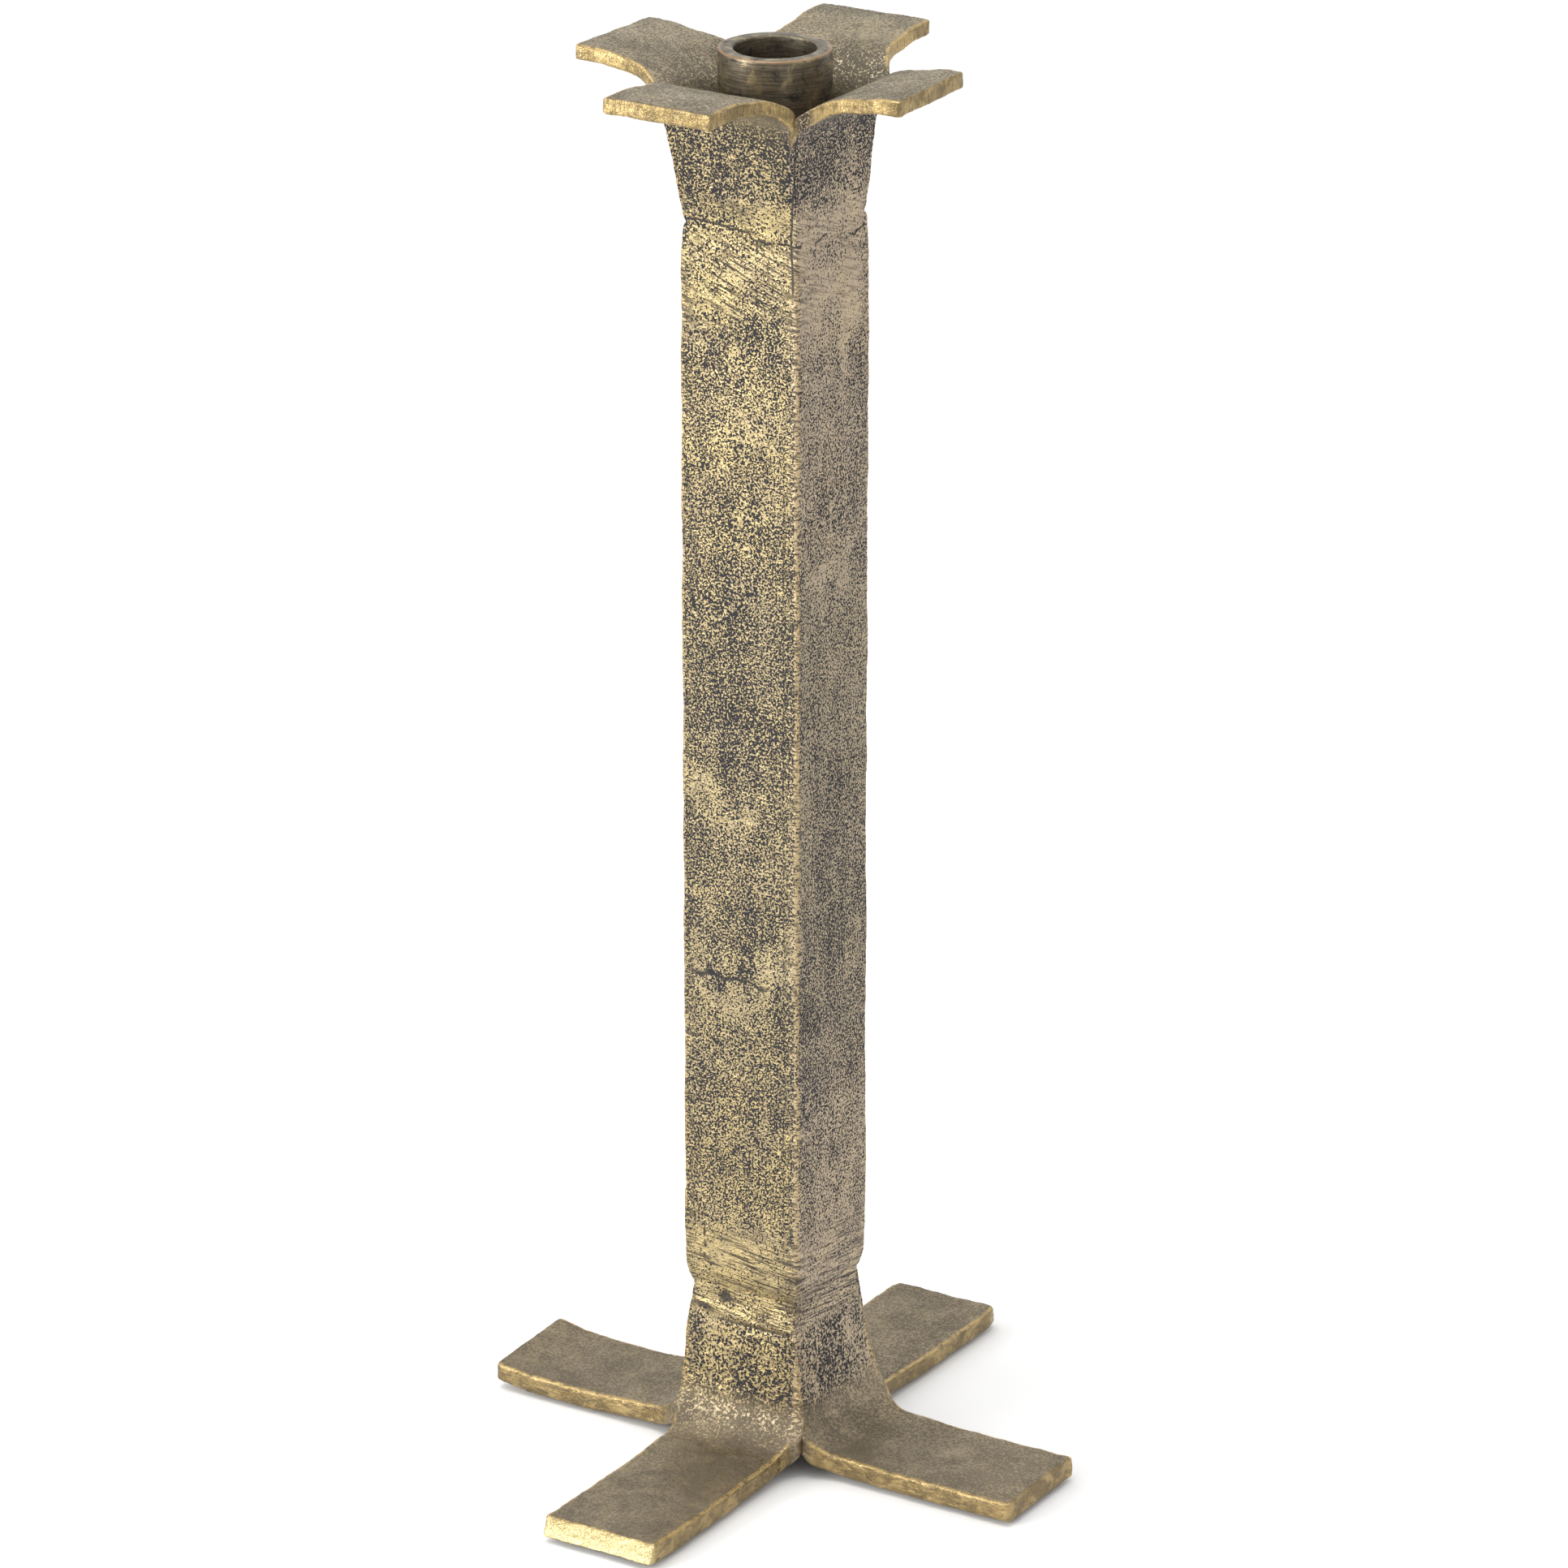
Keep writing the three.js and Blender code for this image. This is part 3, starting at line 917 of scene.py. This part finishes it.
def crowding(nodes, zones):
    """How much more or less pitted each place is than the average."""
    wide = nodes.noise(0.022, 3, 0.6)
    local = nodes.noise(0.14, 3, 0.62, 0.8)
    upright = nodes.noise(0.16, 3, 0.6, vector=squeezed(nodes, 1, 1, 0.12))
    bare = nodes.ramp(nodes.noise(0.034, 3, 0.6, 0.6), 0.56, 0.66)
    parts = ((wide, 0.18), (local, 0.14), (upright, 0.14), (clusters(nodes), 0.05),
             # The arch's extra pits are partly painted shade under the petals.
             (zones.arch, 0.04), (zones.middle, 0.012), (zones.ground, -0.10),
             (zones.margin, -0.03), (zones.ridge, -0.10), (bare, -0.06))
    total = 0.0
    for mask, amount in parts:
        total = nodes.plus(nodes.times(mask, amount), total)
    return total


def casting_pits(nodes, zones):
    """The worm-like pitting as a height, and the dark places: pits, edge ticks and score lines."""
    fine = nodes.noise(1.75, detail=1.6, rough=0.5, distort=0.5)
    coarse = nodes.noise(1.35, detail=2.4, rough=0.6, distort=0.6)
    worms = nodes.plus(nodes.times(fine, nodes.rest(zones.below)),
                       nodes.times(coarse, zones.below))
    pits = nodes.ramp(nodes.plus(worms, crowding(nodes, zones)), 0.710, 0.732)
    ticks = nodes.noise(1.7, 2, 0.6, 0.3, vector=squeezed(nodes, 0.3, 0.3, 1))
    ticks = nodes.times(nodes.ramp(ticks, 0.52, 0.60, 0.0, 0.75), zones.margin)
    scored = nodes.times(nodes.most(zones.scored, cracks(nodes)), 0.9)
    return worms, nodes.most(pits, ticks, scored)


def brass_colour(nodes, zones, cloud, spread_colour):
    """Rubbed and dull brass in clouds, browner on the feet and petals."""
    finish = settings().finish
    tarnish = nodes.ramp(nodes.noise(0.05, 4, 0.6, 0.4), 0.40, 0.64)
    brass = nodes.blend(nodes.ramp(cloud, 0.36, 0.66), tuple(finish.rubbed), tuple(finish.dull))
    brass = nodes.blend(nodes.times(tarnish, 0.45), brass, tuple(finish.patina))
    # Painted shade: the right face is blended towards a greyer brass.
    brass = nodes.blend(nodes.times(zones.right_face_shade, 0.5), brass, (0.50, 0.405, 0.335))
    brass = nodes.blend(nodes.times(zones.middle, 0.45), brass, (0.37, 0.305, 0.19))
    brass = nodes.blend(nodes.times(zones.ridge, 0.5), brass, tuple(finish.golden))
    grime = nodes.ramp(nodes.noise(0.07, 4, 0.65), 0.38, 0.62)
    flange = nodes.blend(grime, spread_colour, darker(spread_colour, 0.66))
    mottle = nodes.ramp(nodes.noise(0.5, 5, 0.68, 0.8), 0.50, 0.66, 0.0, 0.5)
    flange = nodes.blend(mottle, flange, darker(spread_colour, 0.55))
    return nodes.blend(nodes.times(zones.spread, 0.9), brass, flange)


def cast_brass(name, spread_colour, rims=False):
    """Rough cast brass: rubbed high spots, slate pits, ground seams and golden rims."""
    nodes = Nodes(name)
    zones = BrassZones(nodes, rims)
    cloud = nodes.noise(0.35, detail=4, rough=0.65)
    worms, dark = casting_pits(nodes, zones)
    held = nodes.most(nodes.ramp(zones.spread, 0.0, 1.0, 0.97, 0.44),
                      nodes.times(zones.crown, 0.60))
    colour = nodes.blend(nodes.times(dark, held),
                         brass_colour(nodes, zones, cloud, spread_colour),
                         tuple(settings().finish.pit))
    if rims:
        colour, dark = add_rims(nodes, colour, dark, zones.far)
    nodes.link(colour, nodes.shader.inputs["Base Color"])
    nodes.shader.inputs["Specular IOR Level"].default_value = 0.25
    nodes.link(nodes.ramp(dark, 0.0, 1.0, 1.0, 0.5), nodes.shader.inputs["Metallic"])
    rough = nodes.plus(nodes.ramp(dark, 0.0, 1.0, 0.31, 0.60), nodes.times(cloud, 0.12))
    nodes.link(rough, nodes.shader.inputs["Roughness"])
    grain = nodes.bump(nodes.noise(3.2, 2, 0.6), 0.06 * MM, 0.6)
    swell = nodes.bump(worms, 0.35 * MM, 0.8, over=grain)
    hollow = nodes.bump(nodes.rest(dark), 0.22 * MM, 1.0, over=swell)
    nodes.link(hollow, nodes.shader.inputs["Normal"])
    return nodes.material


def rim_colour(nodes):
    """Golden side faces, streaked along the feet and sawn upright on the petals, with a painted
    highlight on the front foot's tip.
    """
    golden = tuple(settings().finish.golden)
    umber = (0.14, 0.11, 0.07)
    _, y, z = nodes.axes()
    petals = nodes.ramp(z, 99 * MM, 101 * MM)
    drawn = nodes.noise(1.1, 3, 0.6, 0.6, vector=squeezed(nodes, 0.3, 0.3, 1))
    sawn = nodes.noise(1.7, 3, 0.6, 0.3, vector=squeezed(nodes, 1, 1, 0.22))
    streaks = nodes.most(nodes.times(drawn, nodes.rest(petals)), nodes.times(sawn, petals))
    blotch = nodes.ramp(nodes.noise(0.14, 4, 0.6, 0.5), 0.36, 0.62)
    shade = nodes.blend(blotch, darker(golden, 0.9), darker(golden, 0.45))
    shade = nodes.blend(nodes.ramp(streaks, 0.46, 0.62, 0.0, 0.62), shade, umber)
    shade = nodes.blend(nodes.ramp(z, 8 * MM, 20 * MM, 0.22, 0.0), shade, umber)
    # Painted highlight: the front foot's tip end is brightened as if lit by the key light.
    lit_front_tip = nodes.ramp(y, -91 * MM, -89 * MM, 1.0, 0.0)
    return nodes.blend(nodes.times(lit_front_tip, 0.85), shade, (0.55, 0.45, 0.23))


def add_rims(nodes, colour, dark, far):
    """The side faces' own colour without pits, and a bright line along their upper edge, partly
    rubbed brass and partly a painted highlight.
    """
    across = nodes.math("ABSOLUTE", nodes.attribute("across"))
    depth = nodes.math("ABSOLUTE", nodes.attribute("depth"))
    tip = nodes.ramp(nodes.attribute("tip"), 0.3, 0.8)
    flange = nodes.ramp(far, SHAFT_HALF + 3.6 * MM, SHAFT_HALF + 7 * MM)
    outer = nodes.times(nodes.most(nodes.ramp(across, 0.94, 0.985), tip), flange)
    colour = nodes.blend(outer, colour, rim_colour(nodes))
    # Bright edge line: partly rubbed brass, partly a painted highlight along the rounded edge.
    edge = nodes.times(nodes.ramp(across, 0.90, 0.97), nodes.ramp(depth, 0.72, 0.92))
    edge = nodes.times(edge, nodes.ramp(nodes.noise(0.5, 3, 0.6), 0.38, 0.52))
    edge = nodes.times(nodes.times(edge, flange), 0.85)
    colour = nodes.blend(edge, colour, tuple(settings().finish.golden))
    return colour, nodes.times(dark, nodes.rest(outer))


def turned_brass(name):
    """Darkened brass with fine lathe rings, rubbed paler in places."""
    nodes = Nodes(name)
    x, y, z = nodes.axes()
    radius = nodes.math("SQRT", nodes.plus(nodes.times(x, x), nodes.times(y, y)))
    ringed = nodes.joined(nodes.times(x, 0.05), nodes.times(y, 0.05), nodes.plus(z, radius))
    rings = nodes.noise(2.4, 3, 0.65, 0.1, vector=ringed)
    blotch = nodes.noise(0.17, 5, 0.68, 0.6)
    cup = tuple(settings().finish.cup)
    colour = nodes.blend(nodes.ramp(rings, 0.40, 0.62), cup, (0.225, 0.19, 0.14))
    colour = nodes.blend(nodes.ramp(blotch, 0.50, 0.67, 0.0, 0.9), colour, (0.40, 0.325, 0.185))
    colour = nodes.blend(nodes.ramp(blotch, 0.34, 0.47, 0.9, 0.0), colour, (0.04, 0.037, 0.034))
    lip = nodes.times(nodes.band(radius, CUP_HIGH.x - 0.5 * MM, 0.15 * MM, 0.5 * MM),
                      nodes.ramp(z, CUP_HIGH.z - 1.2 * MM, CUP_HIGH.z - 0.5 * MM))
    colour = nodes.blend(nodes.times(lip, 0.7), colour, (0.42, 0.26, 0.13))
    nodes.link(colour, nodes.shader.inputs["Base Color"])
    nodes.shader.inputs["Metallic"].default_value = 0.9
    nodes.link(nodes.ramp(blotch, 0.3, 0.7, 0.5, 0.34), nodes.shader.inputs["Roughness"])
    nodes.link(nodes.bump(rings, 0.10 * MM, 0.7), nodes.shader.inputs["Normal"])
    return nodes.material


def fixing_steel(name):
    nodes = Nodes(name)
    scuff = nodes.noise(0.8, 4, 0.6)
    colour = nodes.blend(nodes.ramp(scuff, 0.4, 0.65), (0.42, 0.43, 0.44), (0.26, 0.25, 0.24))
    nodes.link(colour, nodes.shader.inputs["Base Color"])
    nodes.shader.inputs["Metallic"].default_value = 1.0
    nodes.link(nodes.ramp(scuff, 0.3, 0.7, 0.28, 0.5), nodes.shader.inputs["Roughness"])
    nodes.link(nodes.bump(nodes.noise(3, 2), 0.03 * MM, 0.5), nodes.shader.inputs["Normal"])
    return nodes.material


def pad_felt(name):
    nodes = Nodes(name)
    fibre = nodes.noise(2.0, 4, 0.7, 0.8)
    colour = nodes.blend(nodes.ramp(fibre, 0.35, 0.7), (0.018, 0.017, 0.016), (0.05, 0.047, 0.044))
    nodes.link(colour, nodes.shader.inputs["Base Color"])
    nodes.shader.inputs["Roughness"].default_value = 0.95
    nodes.link(nodes.bump(fibre, 0.15 * MM, 0.8), nodes.shader.inputs["Normal"])
    return nodes.material


# ---------------------------------------------------------------- operators

class CANDLESTICK_OT_feet(bpy.types.Operator):
    """Model the four cast feet"""
    bl_idname = "candlestick.feet"
    bl_label = "Feet"

    def execute(self, context):
        material = cast_brass("Cast brass feet", tuple(settings().finish.patina), rims=True)
        for side in SIDES:
            make_foot(side, material)
        return {"FINISHED"}


class CANDLESTICK_OT_shaft(bpy.types.Operator):
    """Model the four walls of the shaft"""
    bl_idname = "candlestick.shaft"
    bl_label = "Shaft"

    def execute(self, context):
        material = cast_brass("Cast brass shaft", tuple(settings().finish.patina))
        for side in SIDES:
            make_wall(side, material)
        return {"FINISHED"}


class CANDLESTICK_OT_seams(bpy.types.Operator):
    """Model the two ground weld seams"""
    bl_idname = "candlestick.seams"
    bl_label = "Weld seams"

    def execute(self, context):
        material = cast_brass("Ground weld brass", tuple(settings().finish.patina))
        make_seam("lower_weld_seam", LOWER_SEAM, SEAM_HEIGHT, 1.22 * MM, material)
        make_seam("upper_weld_seam", UPPER_SEAM, SEAM_HEIGHT, 0.5 * MM, material)
        return {"FINISHED"}


class CANDLESTICK_OT_petals(bpy.types.Operator):
    """Model the four cast petals"""
    bl_idname = "candlestick.petals"
    bl_label = "Petals"

    def execute(self, context):
        material = cast_brass("Cast brass petals", (0.46, 0.385, 0.26), rims=True)
        for side in SIDES:
            make_petal(side, material)
        return {"FINISHED"}


class CANDLESTICK_OT_cup(bpy.types.Operator):
    """Turn the candle cup"""
    bl_idname = "candlestick.cup"
    bl_label = "Candle cup"

    def execute(self, context):
        make_cup(turned_brass("Turned cup brass"))
        return {"FINISHED"}


class CANDLESTICK_OT_fixings(bpy.types.Operator):
    """Finish the fixings under the cup and the pads under the feet"""
    bl_idname = "candlestick.fixings"
    bl_label = "Fixings and pads"

    def execute(self, context):
        steel = fixing_steel("Fixing steel")
        finishes = {"cup_screw": steel, "cup_washer": steel, "cup_nut": steel,
                    "cup_plate": turned_brass("Plate brass")}
        felt = pad_felt("Pad felt")
        for side in SIDES:
            finishes[f"foot_pad_{side}"] = felt
        for name, material in finishes.items():
            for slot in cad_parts[name].material_slots:
                slot.material = material
        return {"FINISHED"}


class CANDLESTICK_OT_stage(bpy.types.Operator):
    """Set the floor, the soft lights and the camera"""
    bl_idname = "candlestick.stage"
    bl_label = "Stage"

    def execute(self, context):
        stage = settings().stage
        add_floor()
        add_surroundings(stage.world)
        add_light("Key", (-0.95, -1.5, 0.65), 0.8, stage.key)
        add_light("Top", (-0.2, -0.3, 1.7), 1.0, stage.top)
        add_camera(stage)
        context.scene.view_settings.view_transform = "Standard"
        return {"FINISHED"}


def add_floor():
    bpy.ops.object.select_all(action="DESELECT")
    bpy.ops.mesh.primitive_plane_add(size=60, location=(0, 0, -0.0002))
    floor = bpy.context.object
    floor.name = "floor"
    nodes = Nodes("Pale floor")
    nodes.shader.inputs["Base Color"].default_value = (0.92, 0.92, 0.92, 1)
    nodes.shader.inputs["Roughness"].default_value = 0.9
    floor.data.materials.append(nodes.material)


def add_surroundings(strength):
    world = bpy.data.worlds.new("White surroundings")
    world.use_nodes = True
    background = world.node_tree.nodes["Background"]
    background.inputs["Color"].default_value = (1, 1, 1, 1)
    background.inputs["Strength"].default_value = strength
    bpy.context.scene.world = world


def add_light(name, place, size, power):
    aim = Vector((0, 0, 0.2))
    bpy.ops.object.light_add(type="AREA", location=place)
    light = bpy.context.object
    light.name = name
    light.data.size = size
    light.data.energy = power
    light.rotation_euler = (aim - Vector(place)).to_track_quat("-Z", "Y").to_euler()


def add_camera(stage):
    turn, rise = stage.azimuth, stage.elevation
    sideways = 2.35 * MM
    aim = Vector((sideways * math.cos(turn), sideways * math.sin(turn), 193.7 * MM))
    back = Vector((math.sin(turn) * math.cos(rise), -math.cos(turn) * math.cos(rise),
                   math.sin(rise)))
    bpy.ops.object.camera_add(location=aim + back * stage.distance)
    camera = bpy.context.object
    camera.rotation_euler = (-back).to_track_quat("-Z", "Y").to_euler()
    camera.data.lens = stage.lens
    camera.data.sensor_width = 36
    camera.data.clip_start = 0.1
    camera.data.clip_end = 20
    bpy.context.scene.camera = camera


STEPS = (CANDLESTICK_OT_feet, CANDLESTICK_OT_shaft, CANDLESTICK_OT_seams, CANDLESTICK_OT_petals,
         CANDLESTICK_OT_cup, CANDLESTICK_OT_fixings, CANDLESTICK_OT_stage)


class CANDLESTICK_PT_panel(bpy.types.Panel):
    bl_label = "Candlestick"
    bl_idname = "CANDLESTICK_PT_panel"
    bl_space_type = "VIEW_3D"
    bl_region_type = "UI"
    bl_category = "Candlestick"

    def draw(self, context):
        for step in STEPS:
            self.layout.operator(step.bl_idname)
        for group in (settings().shape, settings().finish, settings().stage):
            box = self.layout.box()
            for name in group.__annotations__:
                box.prop(group, name)


class CandlestickSettings(bpy.types.PropertyGroup):
    shape: bpy.props.PointerProperty(type=CandlestickShape)
    finish: bpy.props.PointerProperty(type=CandlestickFinish)
    stage: bpy.props.PointerProperty(type=CandlestickStage)


CLASSES = (CandlestickShape, CandlestickFinish, CandlestickStage, CandlestickSettings, *STEPS,
           CANDLESTICK_PT_panel)


def register():
    for item in CLASSES:
        bpy.utils.register_class(item)
    bpy.types.Scene.candlestick = bpy.props.PointerProperty(type=CandlestickSettings)


def unregister():
    del bpy.types.Scene.candlestick
    for item in reversed(CLASSES):
        bpy.utils.unregister_class(item)


def main():
    register()
    for step in STEPS:
        group, name = step.bl_idname.split(".")
        getattr(getattr(bpy.ops, group), name)()


if __name__ == "__main__":
    main()
